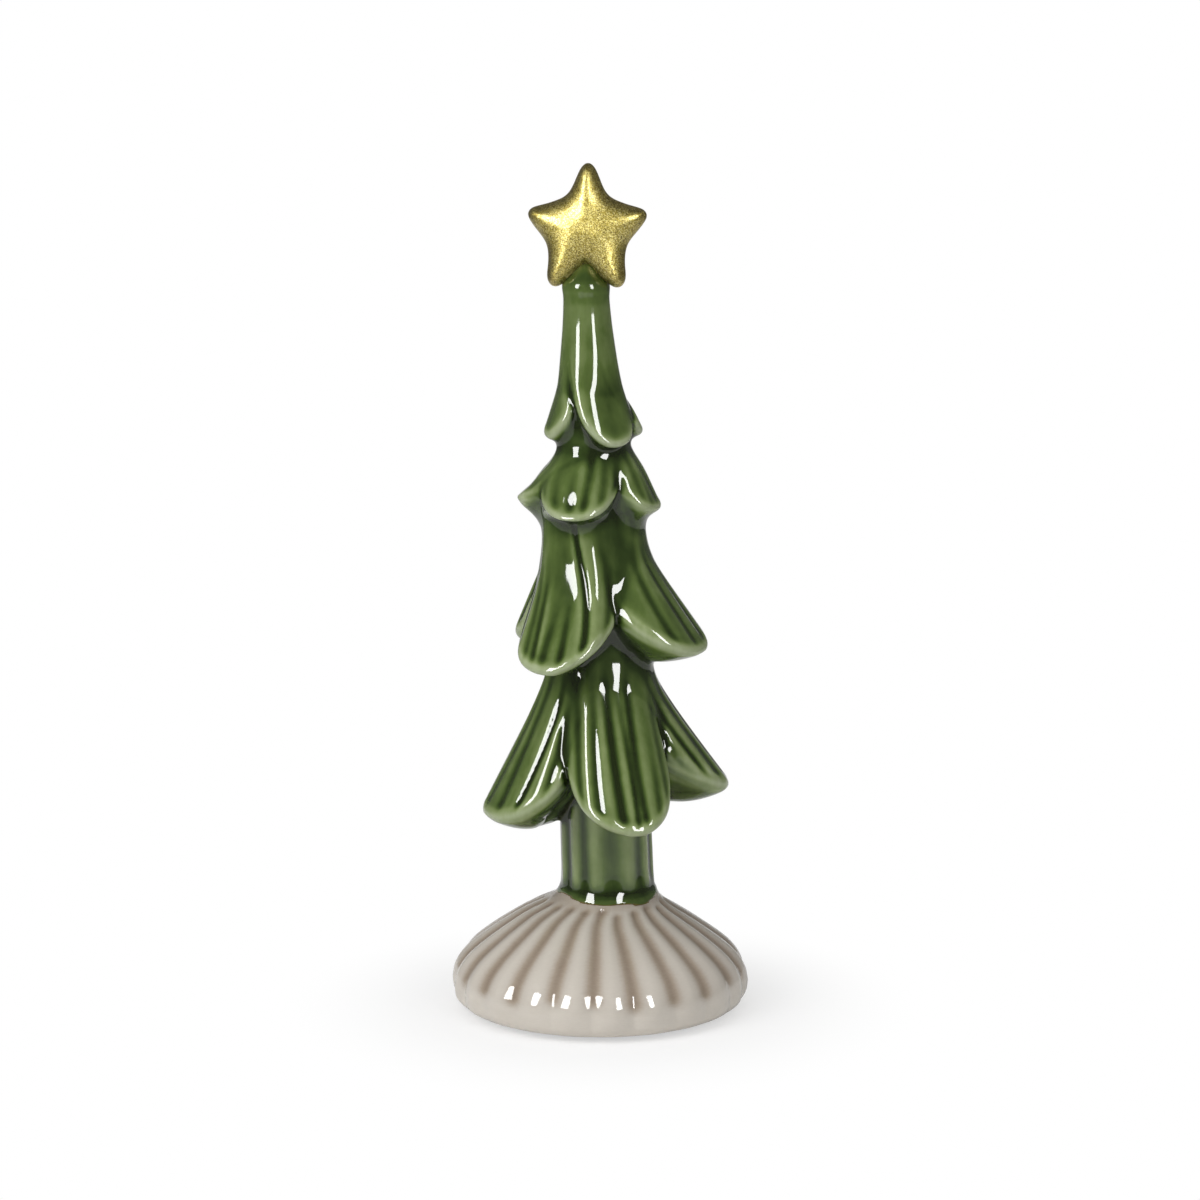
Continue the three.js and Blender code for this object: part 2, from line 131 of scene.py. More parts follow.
# How a bough is shaped. Heights are above the table and reaches out from the tree's axis, in millimetres.
# Two numbers for the sides are for the left and the right, as seen from outside.
#   root_z, tip_z          where it leaves the core, and where its rim is lowest
#   top_z, shoulder        where it is closed off inside the core, and how softly
#   under_z, belly         the middle of its underside, and how late that turns to the rim on the way out
#   root_reach, tip_reach  how far out it stands
#   root_half, tip_half    half its width on each side
#   plan                   how square it is from above, 2 for an oval
#   stretch                how long its rounded end is, as a share of its half width
#   flare                  the share of the way down at which it bends outward, and how softly
#   rise, curl             how far its rim turns up at each side, and how late on the way round
#   tuck                   how much of that the rim gives up again towards the back, from 0 to 1
#   roll                   the radius that the rim is rolled over to
#   crease                 the fillet where it meets the rest of the tree, at its root and at its tip
#   grooves                of each, its angle round the bough in degrees at the root and at the tip, how far
#                          down it begins, and its depth as a share of the setting
EVEN_GROOVES = (
    (-60, -60, 0.1, 0.8), (-32, -35, 0, 1), (-8, -10, 0, 1), (15, 14, 0, 1), (42, 40, 0, 1),
    (65, 65, 0.1, 0.8),
)
ANY_TIER = dict(plan=2.5, stretch=1.05, tuck=0)
LOWER_TIER = dict(
    ANY_TIER, root_z=150, tip_z=74, top_z=158, shoulder=6, under_z=67, belly=2, root_reach=14,
    tip_reach=46.5, root_half=(10, 10), tip_half=(19.5, 19.5), flare=(0.25, 0.3), rise=(20, 20), curl=2.2,
    tuck=1, roll=4.2, crease=(8, 1.8), grooves=EVEN_GROOVES,
)
MIDDLE_TIER = dict(
    ANY_TIER, root_z=190, tip_z=134, top_z=200, shoulder=8, under_z=129, belly=2, root_reach=16,
    tip_reach=42.5, root_half=(12.5, 12.5), tip_half=(19.5, 19.5), flare=(0.38, 0.15), rise=(20, 20),
    curl=2.4, roll=3.6, crease=(8, 1.8), grooves=EVEN_GROOVES,
)
UPPER_TIER = dict(
    ANY_TIER, root_z=221, tip_z=184, top_z=228, shoulder=10, under_z=180, belly=1.5, root_reach=10.5,
    tip_reach=25, root_half=(10.5, 10.5), tip_half=(14, 14), flare=(0.3, 0.2), rise=(10, 10), curl=2.6,
    roll=2.2, crease=(4, 1.5),
    grooves=((-50, -52, 0.1, 0.8), (-20, -18, 0.1, 1), (12, 14, 0.1, 1), (45, 48, 0.1, 0.8)),
)
SPIRE_TIER = dict(
    ANY_TIER, root_z=266, tip_z=210, top_z=264, shoulder=5, under_z=206, belly=1.5, root_reach=6,
    tip_reach=18.5, root_half=(5, 5), tip_half=(12.5, 12.5), flare=(0.5, 0.25), rise=(16, 16), curl=2.2,
    roll=2.2, crease=(3, 1.5), grooves=(),
)

# Each bough's compass angle from the front towards +X, and where it departs from its tier. A bough lies over
# those that come after it.
BOUGHS = [
    dict(SPIRE_TIER, azimuth=31, tip_z=208, tip_half=(13.5, 12.5), rise=(35, 16)),
    dict(SPIRE_TIER, azimuth=-72, tip_reach=17.5, rise=(16, 35)),
    dict(SPIRE_TIER, azimuth=112, tip_reach=19.5),
    dict(SPIRE_TIER, azimuth=-155),
    dict(
        UPPER_TIER, azimuth=-20, tip_z=182.5, under_z=185, belly=1.2, root_reach=9.8, tip_reach=28,
        tip_half=(13, 13.5), flare=(0.45, 0.15), rise=(15, 13), curl=2.4,
        grooves=(
            (-45, -52, 0.2, 0.6), (-20, -26, 0.2, 0.9), (-4, -2, 0.45, 0.9), (22, 22, 0.15, 1.2),
            (42, 47, 0.2, 0.7), (65, 70, 0.2, 0.7),
        ),
    ),
    dict(
        UPPER_TIER, azimuth=72, root_half=(5, 12), tip_half=(12, 14), rise=(16, 10),
        grooves=((-30, -30, 0.2, 0.6), (5, 5, 0.3, 0.6), (40, 40, 0.3, 0.8)),
    ),
    dict(
        UPPER_TIER, azimuth=-103, tip_z=187, under_z=177, tip_reach=29, tip_half=(13, 13), flare=(0.62, 0.12),
        roll=3.6, grooves=((40, 40, 0.2, 0.7), (0, 0, 0.2, 0.8)),
    ),
    dict(UPPER_TIER, azimuth=165),
    dict(
        MIDDLE_TIER, azimuth=66, root_reach=17, root_half=(4, 13), tip_half=(22, 20), flare=(0.4, 0.14),
        curl=2.2,
        grooves=((-38, -30, 0.15, 0.6), (-10, -8, 0.2, 0.6), (20, 18, 0.3, 0.6), (50, 50, 0.3, 0.6)),
    ),
    dict(
        MIDDLE_TIER, azimuth=-26, tip_z=129.5, under_z=127, belly=1.1, root_reach=20, tip_reach=43,
        root_half=(15, 11), tip_half=(20, 19), plan=3, flare=(0.5, 0.15), rise=(22, 25), curl=(2.6, 1.6),
        grooves=(
            (-58, -50, 0.1, 0.7), (-44, -35, 0.2, 0.8), (-30, -21, 0.3, 0.9), (-8, -8, 0.5, 0.9),
            (5, 8, 0.5, 0.8), (11, 32, -0.1, 1.2), (40, 60, 0.1, 0.9),
        ),
    ),
    dict(MIDDLE_TIER, azimuth=-122, tip_reach=33),
    dict(MIDDLE_TIER, azimuth=156),
    dict(
        LOWER_TIER, azimuth=15, tip_z=73, under_z=70, belly=1.2, tip_reach=49, root_half=(11, 14),
        tip_half=(22, 18.5), plan=2.8, flare=(0.24, 0.08), rise=(22, 24), curl=1.9,
        grooves=(
            (-50, -54, 0.1, 0.9), (-28, -32, 0.15, 0.9), (-10, -14, 0.1, 1.2), (4, 0, 0.3, 0.9),
            (19, 13, 0.1, 0.9), (35, 29, 0.4, 0.6), (52, 47, 0.2, 0.7),
        ),
    ),
    dict(
        LOWER_TIER, azimuth=-72, tip_z=73, tip_reach=47, root_half=(7, 9), tip_half=(19.5, 26), plan=2,
        stretch=0.85, curl=2.8,
        grooves=(
            (-25, -22, 0.1, 0.5), (0, -1, 0.1, 0.5), (22, 19, 0, 0.7), (44, 42, 0.1, 0.9), (64, 66, 0.1, 1),
            (84, 87, 0.2, 0.8),
        ),
    ),
    dict(
        LOWER_TIER, azimuth=104, tip_z=79, under_z=73, root_reach=15, tip_reach=48, root_half=(13, 10),
        tip_half=(21, 19.5), flare=(0.35, 0.2), rise=(12, 20), roll=5,
        grooves=(
            (-84, -78, 0.2, 0.7), (-62, -55, 0.1, 0.9), (-45, -36, 0.1, 0.9), (-26, -16, 0.1, 0.9),
            (0, 5, 0.2, 0.7), (30, 30, 0.2, 0.7),
        ),
    ),
    dict(LOWER_TIER, azimuth=-165, root_half=(13, 13), tip_half=(22, 22)),
]

# A bough ends this far behind the axis. Past its tip and its sides its form is followed up to this share.
BOUGH_BACK = 3 * MM
BOUGH_BEYOND = 1.3

# A groove deepens over this share of the way down. It ends this far above the rim, after running out over
# this height, both in millimetres, and wanders to the sides by this angle in radians.
GROOVE_DEEPENS = 0.5
GROOVE_END = 1
GROOVE_RUN_OUT = 5
GROOVE_WANDER = 0.05

# The middle of a rim's lip above the rim, and half its height, in millimetres
LIP_MIDDLE = 0.5
LIP_HALF = 1.6

# A bough sinks beside one that lies over it from this share of the way down on, and fully after another such
# share. It sinks only this close to the other bough, and mostly within the width.
LAP_BEGINS = 0.4
LAP_NEAR = 6 * MM
LAP_WIDTH = 2.2 * MM

# A crease narrows this many times as fast as its bough runs down
CREASE_NARROWS = 1.15

# The corners of the lattice that the green tree is worked out on, and the room kept round each bough
LATTICE_LOW = np.array([-52, -52, 38]) * MM
LATTICE_HIGH = np.array([52, 52, 282]) * MM
BOUGH_MARGIN = 12 * MM

# The tree's axis leaves the foot's to one side, in the last fifth of the way up to the neck, and leans back
# across it
NECK_OFFSET = 2.8 * MM
HEAD_OFFSET = -5 * MM
HEAD_Z = 263 * MM

# The heights and radii in millimetres of the tree's core, from the neck up to the point that the star sits
# on, and of the hollow inside it. Then how softly the hollow's edge and the glaze's lower edge are rounded,
# and how finely the core's curve is followed.
CORE_PROFILE = [
    (37, 25), (38.4, 22), (39.6, 20), (41, 18.6), (43, 17.7), (47, 17.2), (76, 16.8), (150, 15), (190, 11),
    (212, 9.2), (222, 9.9), (230, 10.5), (240, 9.8), (250, 8.8), (257, 8.3), (260, 8.3), (263, 8.6),
    (265, 8.4), (267, 7.1), (269.5, 5), (272, 2.6), (273.5, 0),
]
BORE_PROFILE = [(37, 12.6), (76, 12.6), (212, 5), (236, 3), (240, 0)]
BORE_EDGE = 0.5 * MM
GLAZE_EDGE = 0.4 * MM
CORE_STEPS = 600

# The trunk's ribs rise out of the neck over one length and fade inside the boughs over another. Their
# spacing varies by this angle in radians.
RIBS_RISE = 9 * MM
RIBS_END = 120 * MM
RIBS_FADE = 60 * MM
RIBS_UNEVEN = 0.09

# Where the green glaze ends on the neck, in millimetres, and the waves in that edge: how many go round, where
# each starts in radians, and its height
BORDER_HEIGHT = 40.2
BORDER_WAVES = [(2, 0.6, 0.7), (5, 2, 0.4), (9, 0, 0.2)]


def lerp(a, b, share):
    """The value that lies this share of the way from a to b."""
    return a + (b - a) * share


def smooth(share):
    """0 to 1 with soft ends."""
    s = np.clip(share, 0, 1)
    return s * s * (3 - 2 * s)


def joined(a, b, blend):
    """The field of two bodies run together, with the crease between them filled."""
    share = np.clip(0.5 + 0.5 * (b - a) / blend, 0, 1)
    return lerp(b, a, share) - blend * share * (1 - share)


def both(a, b, rounding):
    """The field of what two bodies share, with the edge rounded."""
    return -joined(-a, -b, rounding)


def rounded(a, b, radius):
    """The field of what two bodies share, with the edge rolled over to a radius."""
    edge = np.hypot(np.maximum(a + radius, 0), np.maximum(b + radius, 0))
    return np.minimum(np.maximum(a, b), -radius) + edge


def distance(field, step):
    """A field turned to lengths from its surface, by dividing it by its slope."""
    slope = np.sqrt(sum(g * g for g in np.gradient(field, step)))
    return field / np.maximum(slope, 1e-6)


def curve_through(points, count, pieces=24):
    """Points evenly spaced along a smooth open curve through the given ones, worked out in short pieces."""
    points = np.array(points, float)
    known = np.concatenate([[2 * points[0] - points[1]], points, [2 * points[-1] - points[-2]]])
    t = np.linspace(0, 1, pieces, endpoint=False)[:, None]
    fine = []
    for a, b, c, d in zip(known, known[1:], known[2:], known[3:]):
        fine.append(b + 0.5 * t * (c - a + t * (2 * a - 5 * b + 4 * c - d + t * (3 * (b - c) + d - a))))
    fine = np.concatenate([*fine, points[-1:]])
    along = np.concatenate([[0], np.cumsum(np.linalg.norm(np.diff(fine, axis=0), axis=1))])
    places = np.linspace(0, along[-1], count)
    return np.stack([np.interp(places, along, values) for values in fine.T], axis=1)


def axis_offset(z):
    """How far along X the tree's axis is at each height."""
    leaning = (z - NECK_Z) / (HEAD_Z - NECK_Z)
    below = NECK_OFFSET * smooth(z / NECK_Z * 5 - 4)
    return np.where(z < NECK_Z, below, lerp(NECK_OFFSET, HEAD_OFFSET, leaning))


def border_z(angle):
    """The height at which the green glaze ends on the neck, which wavers round it."""
    waves = (height * np.sin(times * angle + start) for times, start, height in BORDER_WAVES)
    return sum(waves, BORDER_HEIGHT) * MM


def above_border(points):
    """How far each point is above the end of the green glaze."""
    return points[:, 2] - border_z(np.arctan2(points[:, 1], points[:, 0] - axis_offset(points[:, 2])))


def on_rib(angle, settings):
    """1 on a rib of the trunk and 0 in the groove beside it. The ribs are unevenly spaced."""
    return np.cos(settings.trunk_ribs * (angle + RIBS_UNEVEN * np.sin(3 * angle + 1))) * 0.5 + 0.5


def trunk_field(grid, settings):
    """The field of the trunk and of the core that it becomes inside the boughs."""
    px, py, pz = grid
    x = px - axis_offset(pz)
    radius = np.hypot(x, py)
    angle = np.arctan2(py, x)
    outside = np.interp(pz, *curve_through(CORE_PROFILE, CORE_STEPS).T * MM)
    bore = np.interp(pz, *np.transpose(BORE_PROFILE) * MM)
    ribbed = smooth((pz - NECK_Z) / RIBS_RISE) * (1 - smooth((pz - RIBS_END) / RIBS_FADE))
    outside = outside - settings.rib_depth * (1 - on_rib(angle, settings)) * ribbed
    walled = both(radius - outside, bore - radius, BORE_EDGE)
    return both(walled, border_z(angle) - pz, GLAZE_EDGE)


def hinge(down, bend, softness):
    """How far out a bough has come, from 0 at its root to 1 at its tip, if it bends part of the way down."""
    out = [share - bend + np.hypot(share - bend, softness) for share in (down, 0, 1)]
    return (out[0] - out[1]) / (out[2] - out[1])


def rim_height(bough, size, angle, right):
    """The height of a bough's rim at each angle round it, lowest at its tip."""
    side = np.abs(angle) / (math.pi / 2)
    behind = np.where(side > 1, lerp(1, np.abs(np.sin(angle)), bough["tuck"]), 1)
    rise = np.where(right, size["rise"][1], size["rise"][0])
    left_curl, right_curl = np.broadcast_to(bough["curl"], 2)
    curl = np.where(right, right_curl, left_curl)
    return size["tip_z"] + rise * np.minimum(side, BOUGH_BEYOND) ** curl * behind


def bough_field(bough, x, y, z, settings, chance):
    """The field of one bough, under 0 inside it, and how far down it each point is.

    x goes outward and y across.
    """
    size = {name: np.multiply(value, MM) for name, value in bough.items() if name != "grooves"}
    right = y > 0
    tall = size["root_z"] - size["tip_z"]
    down = np.clip((size["root_z"] - z) / tall, 0, BOUGH_BEYOND)
    flare = hinge(np.minimum(down, 1), *bough["flare"])
    centre = (size["tip_reach"] - bough["stretch"] * size["tip_half"].mean()) * flare
    along = lerp(size["root_reach"], size["tip_reach"], flare) - centre
    left_half, right_half = [lerp(size["root_half"][i], size["tip_half"][i], smooth(down)) for i in (0, 1)]
    half = np.where(right, right_half, left_half)
    u = (x - centre) / along
    v = y / half
    lobe = (np.abs(u) ** bough["plan"] + np.abs(v) ** bough["plan"] + 1e-9) ** (1 / bough["plan"])
    angle = np.arctan2(v, u)
    rim_z = rim_height(bough, size, angle, right)
    above = (z - rim_z) / MM
    skin = distance(lobe - 1, settings.mesh_step)
    for root_angle, tip_angle, begins, depth in bough["grooves"]:
        wander = GROOVE_WANDER * np.sin(down * chance.uniform(3, 6) + chance.uniform(0, 6))
        middle = np.radians(lerp(root_angle, tip_angle, smooth(down)))
        off = (angle - middle - wander) * (along + half) / 2
        shown = smooth((down - begins) / GROOVE_DEEPENS) * smooth((above - GROOVE_END) / GROOVE_RUN_OUT)
        width = settings.groove_width * chance.uniform(0.8, 1.25)
        skin += settings.groove_depth * depth * shown * np.exp(-((off / width) ** 2))
    skin -= settings.lip * np.exp(-(((above - LIP_MIDDLE) / LIP_HALF) ** 2))
    under = size["under_z"] + (rim_z - size["under_z"]) * np.minimum(lobe, BOUGH_BEYOND) ** bough["belly"]
    field = rounded(skin, distance(under - z, settings.mesh_step), size["roll"])
    field = both(field, -BOUGH_BACK - x, BOUGH_BACK)
    return both(field, z - size["top_z"], 2 * size["shoulder"]), down


def bough_block(bough, outward, axes):
    """The part of the lattice that one bough can reach, as a slice of each axis."""
    heights = (bough["under_z"] * MM - BOUGH_MARGIN, bough["top_z"] * MM + BOUGH_MARGIN)
    reaches = (-BOUGH_BACK - BOUGH_MARGIN, bough["tip_reach"] * MM + BOUGH_MARGIN)
    side = max(bough["tip_half"]) * MM + BOUGH_MARGIN
    xs, ys = zip(*[
        (outward[0] * r - outward[1] * s, outward[1] * r + outward[0] * s)
        for r in reaches for s in (-side, side)
    ])
    lean = sorted(float(axis_offset(height)) for height in heights)
    spans = [(min(xs) + lean[0], max(xs) + lean[1]), (min(ys), max(ys)), heights]
    return tuple(slice(*np.searchsorted(axis, span)) for axis, span in zip(axes, spans))


def tree_field(settings):
    """The whole tree's field on an even lattice that starts at its low corner."""
    axes = [np.arange(a, b, settings.mesh_step) for a, b in zip(LATTICE_LOW, LATTICE_HIGH)]
    field = trunk_field(np.meshgrid(*axes, indexing="ij", sparse=True), settings)
    placed = np.full(field.shape, 1.0)
    chance = np.random.default_rng(7)
    for bough in BOUGHS:
        turn = math.radians(bough["azimuth"])
        outward = (math.sin(turn), -math.cos(turn))
        block = bough_block(bough, outward, axes)
        px, py, pz = np.meshgrid(*(axis[s] for axis, s in zip(axes, block)), indexing="ij", sparse=True)
        px = px - axis_offset(pz)
        x = px * outward[0] + py * outward[1]
        y = -px * outward[1] + py * outward[0]
        made, down = bough_field(bough, x, y, pz + 0 * x, settings, chance)
        over = placed[block]
        lap = smooth((down - LAP_BEGINS) / LAP_BEGINS) * (over < LAP_NEAR)
        made += settings.lap_depth * lap * np.exp(-((np.maximum(over, 0) / LAP_WIDTH) ** 2))
        placed[block] = np.minimum(over, made)
        root_crease, tip_crease = np.multiply(bough["crease"], MM)
        crease = lerp(root_crease, tip_crease, smooth(down * CREASE_NARROWS))
        field[block] = joined(field[block], made, crease)
    return field


def surface(low, step, field):
    """The surface of a field, as a point for each cell that it crosses, and four-sided faces."""
    inside = field < 0
    cells = np.zeros(tuple(n - 1 for n in field.shape), np.int8)
    for i, j, k in np.ndindex(2, 2, 2):
        cells += inside[i : i + cells.shape[0], j : j + cells.shape[1], k : k + cells.shape[2]]
    crossed = (cells > 0) & (cells < 8)
    number = np.full(cells.shape, -1, np.int64)
    number[crossed] = np.arange(crossed.sum())
    corner = np.argwhere(crossed)
    steps = np.eye(3, dtype=int)
    total = np.zeros((len(corner), 3))
    cuts = np.zeros(len(corner))
    for axis in range(3):
        step_u, step_v = np.delete(steps, axis, axis=0)
        for i, j in np.ndindex(2, 2):
            start = corner + i * step_u + j * step_v
            a = field[tuple(start.T)]
            b = field[tuple((start + steps[axis]).T)]
            cut = (a < 0) != (b < 0)
            share = np.where(cut, a / np.where(cut, a - b, 1), 0)
            total[cut] += (start + share[:, None] * steps[axis])[cut]
            cuts[cut] += 1
    points = low + step * total / cuts[:, None]
    faces = []
    for axis in range(3):
        u, v = (axis + 1) % 3, (axis + 2) % 3
        first = np.moveaxis(inside, axis, 0)
        change = np.moveaxis(first[1:] != first[:-1], 0, axis)
        at = np.argwhere(change)
        at = at[(at[:, u] > 0) & (at[:, v] > 0)]
        at = at[(at[:, u] < number.shape[u]) & (at[:, v] < number.shape[v])]
        around = [at - steps[u] - steps[v], at - steps[v], at, at - steps[u]]
        quad = np.stack([number[tuple(cell.T)] for cell in around], axis=1)
        starts_inside = inside[tuple(at.T)]
        quad[~starts_inside] = quad[~starts_inside][:, ::-1]
        faces.append(quad)
    return points, np.concatenate(faces)


def sampled(low, step, field, points):
    """A field's value at each point, read between the lattice's points."""
    place = (points - low) / step
    base = np.clip(np.floor(place).astype(int), 0, np.array(field.shape) - 2)
    share = place - base
    value = np.zeros(len(points))
    for corner in np.ndindex(2, 2, 2):
        weight = np.prod(np.where(corner, share, 1 - share), axis=1)
        value += weight * field[tuple((base + corner).T)]
    return value


def softened(field, cells):
    """A field blurred by a box of so many cells to each side, along each axis in turn."""
    width = 2 * cells + 1
    for axis in range(3):
        padding = [(cells + 1, cells) if a == axis else (0, 0) for a in range(3)]
        running = np.cumsum(np.pad(field, padding, mode="edge"), axis=axis, dtype=np.float64)
        after = np.take(running, range(width, running.shape[axis]), axis=axis)
        before = np.take(running, range(running.shape[axis] - width), axis=axis)
        field = ((after - before) / width).astype(np.float32)
    return field


def gradient_normals(low, step, field, points):
    """The direction straight out of a field's surface at each point."""
    normals = np.stack([sampled(low, step, slope, points) for slope in np.gradient(field, step)], axis=1)
    return normals / np.linalg.norm(normals, axis=1)[:, None]


def drawn_onto(low, step, field, points):
    """Points moved straight onto the surface of a field that they are close to."""
    normals = gradient_normals(low, step, field, points)
    return points - sampled(low, step, field, points)[:, None] * normals


def new_piece(name, points, faces, material):
    """A smooth-shaded mesh object from points and faces that all have as many corners."""
    mesh = bpy.data.meshes.new(name)
    mesh.from_pydata(points.tolist(), [], faces.tolist())
    mesh.update()
    mesh.polygons.foreach_set("use_smooth", [True] * len(mesh.polygons))
    mesh.materials.append(material)
    piece = bpy.data.objects.new(name, mesh)
    bpy.context.scene.collection.objects.link(piece)
    return piece


def add_values(piece, name, values):
    """Store one number for each point of a mesh, for its material to read."""
    layer = piece.data.attributes.new(name, "FLOAT", "POINT")
    layer.data.foreach_set("value", np.asarray(values, np.float32))


def node(tree, kind, inputs=None, stops=None, **settings):
    """Add a node. An input that is given a socket is linked to it, and any other is set."""
    made = tree.nodes.new(kind)
    for name, value in settings.items():
        setattr(made, name, value)
    for name, value in (inputs or {}).items():
        if isinstance(value, bpy.types.NodeSocket):
            tree.links.new(value, made.inputs[name])
        else:
            made.inputs[name].default_value = value
    for i, (place, value) in enumerate(stops or []):
        ramp = made.color_ramp.elements
        stop = ramp[i] if i < 2 else ramp.new(place)
        stop.position = place
        stop.color = (*value, 1)
    return made


def new_material(name):
    """A material with nothing in it yet, and its tree of nodes."""
    material = bpy.data.materials.new(name)
    material.use_nodes = True
    material.node_tree.nodes.clear()
    return material, material.node_tree


# Both glazes are glass, hard and wet-looking, which mirror the softboxes sharply. A glaze runs off ridges and
# rims and gathers in grooves, so its colour follows "glaze_depth", from 0 where it is thin to 1 where it is
# thick. On the green tree "glaze_depth" also holds painted shade, in the creases under the boughs, low on the
# trunk and under the star. Their clouds and streaks are given by the size that they have on the tree.
GLAZE_IOR = 1.55

# Real flake in gold paint is a few hundredths of a millimetre across, too fine to show, so its grains are
# drawn coarser. The second is how far they stand up.
FLAKE_SIZE = 0.24 * MM
FLAKE_TILT = 0.06 * MM


def mottled(tree, patterns):
    """The thickness of a glaze, with any painted shade in it, made uneven by patterns, each with its place,
    size and how much it adds.
    """
    depth = node(tree, "ShaderNodeAttribute", attribute_name="glaze_depth").outputs["Fac"]
    for place, size, amount in patterns:
        noise = node(tree, "ShaderNodeTexNoise", {"Vector": place, "Scale": 1 / size, "Detail": 3.0})
        depth = node(
            tree, "ShaderNodeMath", {0: noise.outputs["Fac"], 1: amount, 2: depth}, operation="MULTIPLY_ADD"
        ).outputs["Value"]
    return depth


def green_glaze(look):
    """Transparent green glaze on white stoneware, dipped and fired: pale where thin, dark where pooled and
    where shade is painted in.
    """
    material, tree = new_material("Celadon-green stoneware glaze, dipped")
    place = node(tree, "ShaderNodeTexCoord").outputs["Object"]
    # Soft clouds, and streaks four times as tall as they are wide, as the glaze ran down the tree
    drawn = node(tree, "ShaderNodeMapping", {"Vector": place, "Scale": (1, 1, 0.25)}).outputs["Vector"]
    depth = mottled(tree, [(place, 9 * MM, 0.22), (drawn, 2.2 * MM, 0.12)])
    green = node(
        tree, "ShaderNodeValToRGB", {"Fac": depth},
        stops=[
            (0.1, look.green_thin), (1.05, look.green_thick),
            (0.32, linear("#8a9a64")), (0.55, linear("#5c7037")), (0.8, linear("#35471b")),
        ],
    )
    # A thin amber line where the green ends on the sand glaze
    edge = node(tree, "ShaderNodeAttribute", attribute_name="glaze_edge").outputs["Fac"]
    edged = node(
        tree, "ShaderNodeMix", {"Factor": edge, "A": green.outputs["Color"], "B": (*linear("#7a5a22"), 1)},
        data_type="RGBA",
    )
    shader = node(
        tree, "ShaderNodeBsdfPrincipled",
        {"Base Color": edged.outputs["Result"], "Roughness": 0.045, "IOR": GLAZE_IOR},
    )
    node(tree, "ShaderNodeOutputMaterial", {"Surface": shader.outputs["BSDF"]})
    return material


def sand_glaze(look):
    """Milky sand-coloured glaze, dipped and fired: cream on the ridges, browner where it fills grooves."""
    material, tree = new_material("Sand stoneware glaze, dipped")
    place = node(tree, "ShaderNodeTexCoord").outputs["Object"]
    # Soft clouds, and specks a third as tall as they are wide, like the level traces of turning
    banded = node(tree, "ShaderNodeMapping", {"Vector": place, "Scale": (1, 1, 3)}).outputs["Vector"]
    depth = mottled(tree, [(place, 14 * MM, 0.16), (banded, 1.6 * MM, 0.14)])
    sand = node(
        tree, "ShaderNodeValToRGB", {"Fac": depth},
        stops=[
            (0.05, linear("#e0d9ce")), (1.0, linear("#8a7969")),
            (0.35, look.sand), (0.65, linear("#b3a595")),
        ],
    )
    shader = node(
        tree, "ShaderNodeBsdfPrincipled",
        {"Base Color": sand.outputs["Color"], "Roughness": 0.06, "IOR": GLAZE_IOR},
    )
    node(tree, "ShaderNodeOutputMaterial", {"Surface": shader.outputs["BSDF"]})
    return material


def gold_paint(look):
    """Gold paint with metal flake, brushed on over the glaze: a satin sheen broken up by glinting grains."""
    material, tree = new_material("Gold metallic paint, brushed on")
    place = node(tree, "ShaderNodeTexCoord").outputs["Object"]
    flakes = node(tree, "ShaderNodeTexVoronoi", {"Vector": place, "Scale": 1 / FLAKE_SIZE}, feature="F1")
    grain = node(tree, "ShaderNodeSeparateColor", {"Color": flakes.outputs["Color"]})
    tint = node(
        tree, "ShaderNodeValToRGB", {"Fac": grain.outputs["Red"]},
        stops=[(0.0, linear("#4c3a04")), (1.0, linear("#ece29c")), (0.6, look.gold)],
    )
    bump = node(
        tree, "ShaderNodeBump", {"Height": grain.outputs["Green"], "Strength": 0.5, "Distance": FLAKE_TILT}
    )
    shader = node(
        tree, "ShaderNodeBsdfPrincipled",
        {
            "Base Color": tint.outputs["Color"], "Metallic": 1.0, "Roughness": 0.4,
            "Normal": bump.outputs["Normal"], "Coat Weight": 0.8, "Coat Roughness": 0.32,
        },
    )
    node(tree, "ShaderNodeOutputMaterial", {"Surface": shader.outputs["BSDF"]})
    return material


# How strongly the green darkens where the skin is hollow over one cell to each side, as in a groove,
# and over four, as between boughs: glaze gathers there, and in the creases between boughs and under their
# rims the darkening is painted shade as well. Skin that bulges by the last of these, over four cells, counts
# as flat.
NARROW_POOL_AND_SHADE = 6000
WIDE_POOL_AND_SHADE = 1600
COUNTS_AS_FLAT = 0.04 * MM

# How much thicker the glaze lies at its lower edge and how far up, low on the trunk, round the crown below
# the star and between the trunk's ribs. Low on the trunk and round the crown the green is also darkened as
# painted shade, of the boughs above and of the star's legs. The last three have a height, and a length over
# which each comes in.
EDGE_GAIN, EDGE_REACH = 0.4, 9 * MM
LOW_POOL_AND_SHADE_GAIN, LOW_TOP, LOW_FADE = 0.08, 85 * MM, 25 * MM
CROWN_POOL_AND_SHADE_GAIN, CROWN_Z, CROWN_RISE = 0.5, 260 * MM, 6 * MM
RIBS_GAIN, RIBS_TOP, RIBS_BELOW = 0.12, 90 * MM, 10 * MM

# What lies this close to the axis is trunk, and not a bough
TRUNK_REACH = 18.1 * MM

# The amber line at the glaze's lower edge: where it begins to fade, and over what length
AMBER_HEIGHT = 0.1 * MM
AMBER_FADE = 0.6 * MM


def settled_glaze_and_shade(points, settings):
    """How much thicker the glaze is where it ran together, at its edge, low down, by the star and in grooves,
    with painted shade added low down and by the star.
    """
    x = points[:, 0] - axis_offset(points[:, 2])
    y, z = points[:, 1:].T
    edge = EDGE_GAIN * smooth(1 - above_border(points) / EDGE_REACH)
    # Painted shade of the boughs above, on top of glaze that ran down low on the trunk
    low = LOW_POOL_AND_SHADE_GAIN * smooth((LOW_TOP - z) / LOW_FADE)
    # Painted shade under the star's legs, on top of glaze gathered at the joint
    crown = CROWN_POOL_AND_SHADE_GAIN * smooth((z - CROWN_Z) / CROWN_RISE)
    on_trunk = smooth((RIBS_TOP - z) / RIBS_BELOW) * (np.hypot(x, y) < TRUNK_REACH)
    return edge + low + crown + RIBS_GAIN * (1 - on_rib(np.arctan2(y, x), settings)) * on_trunk


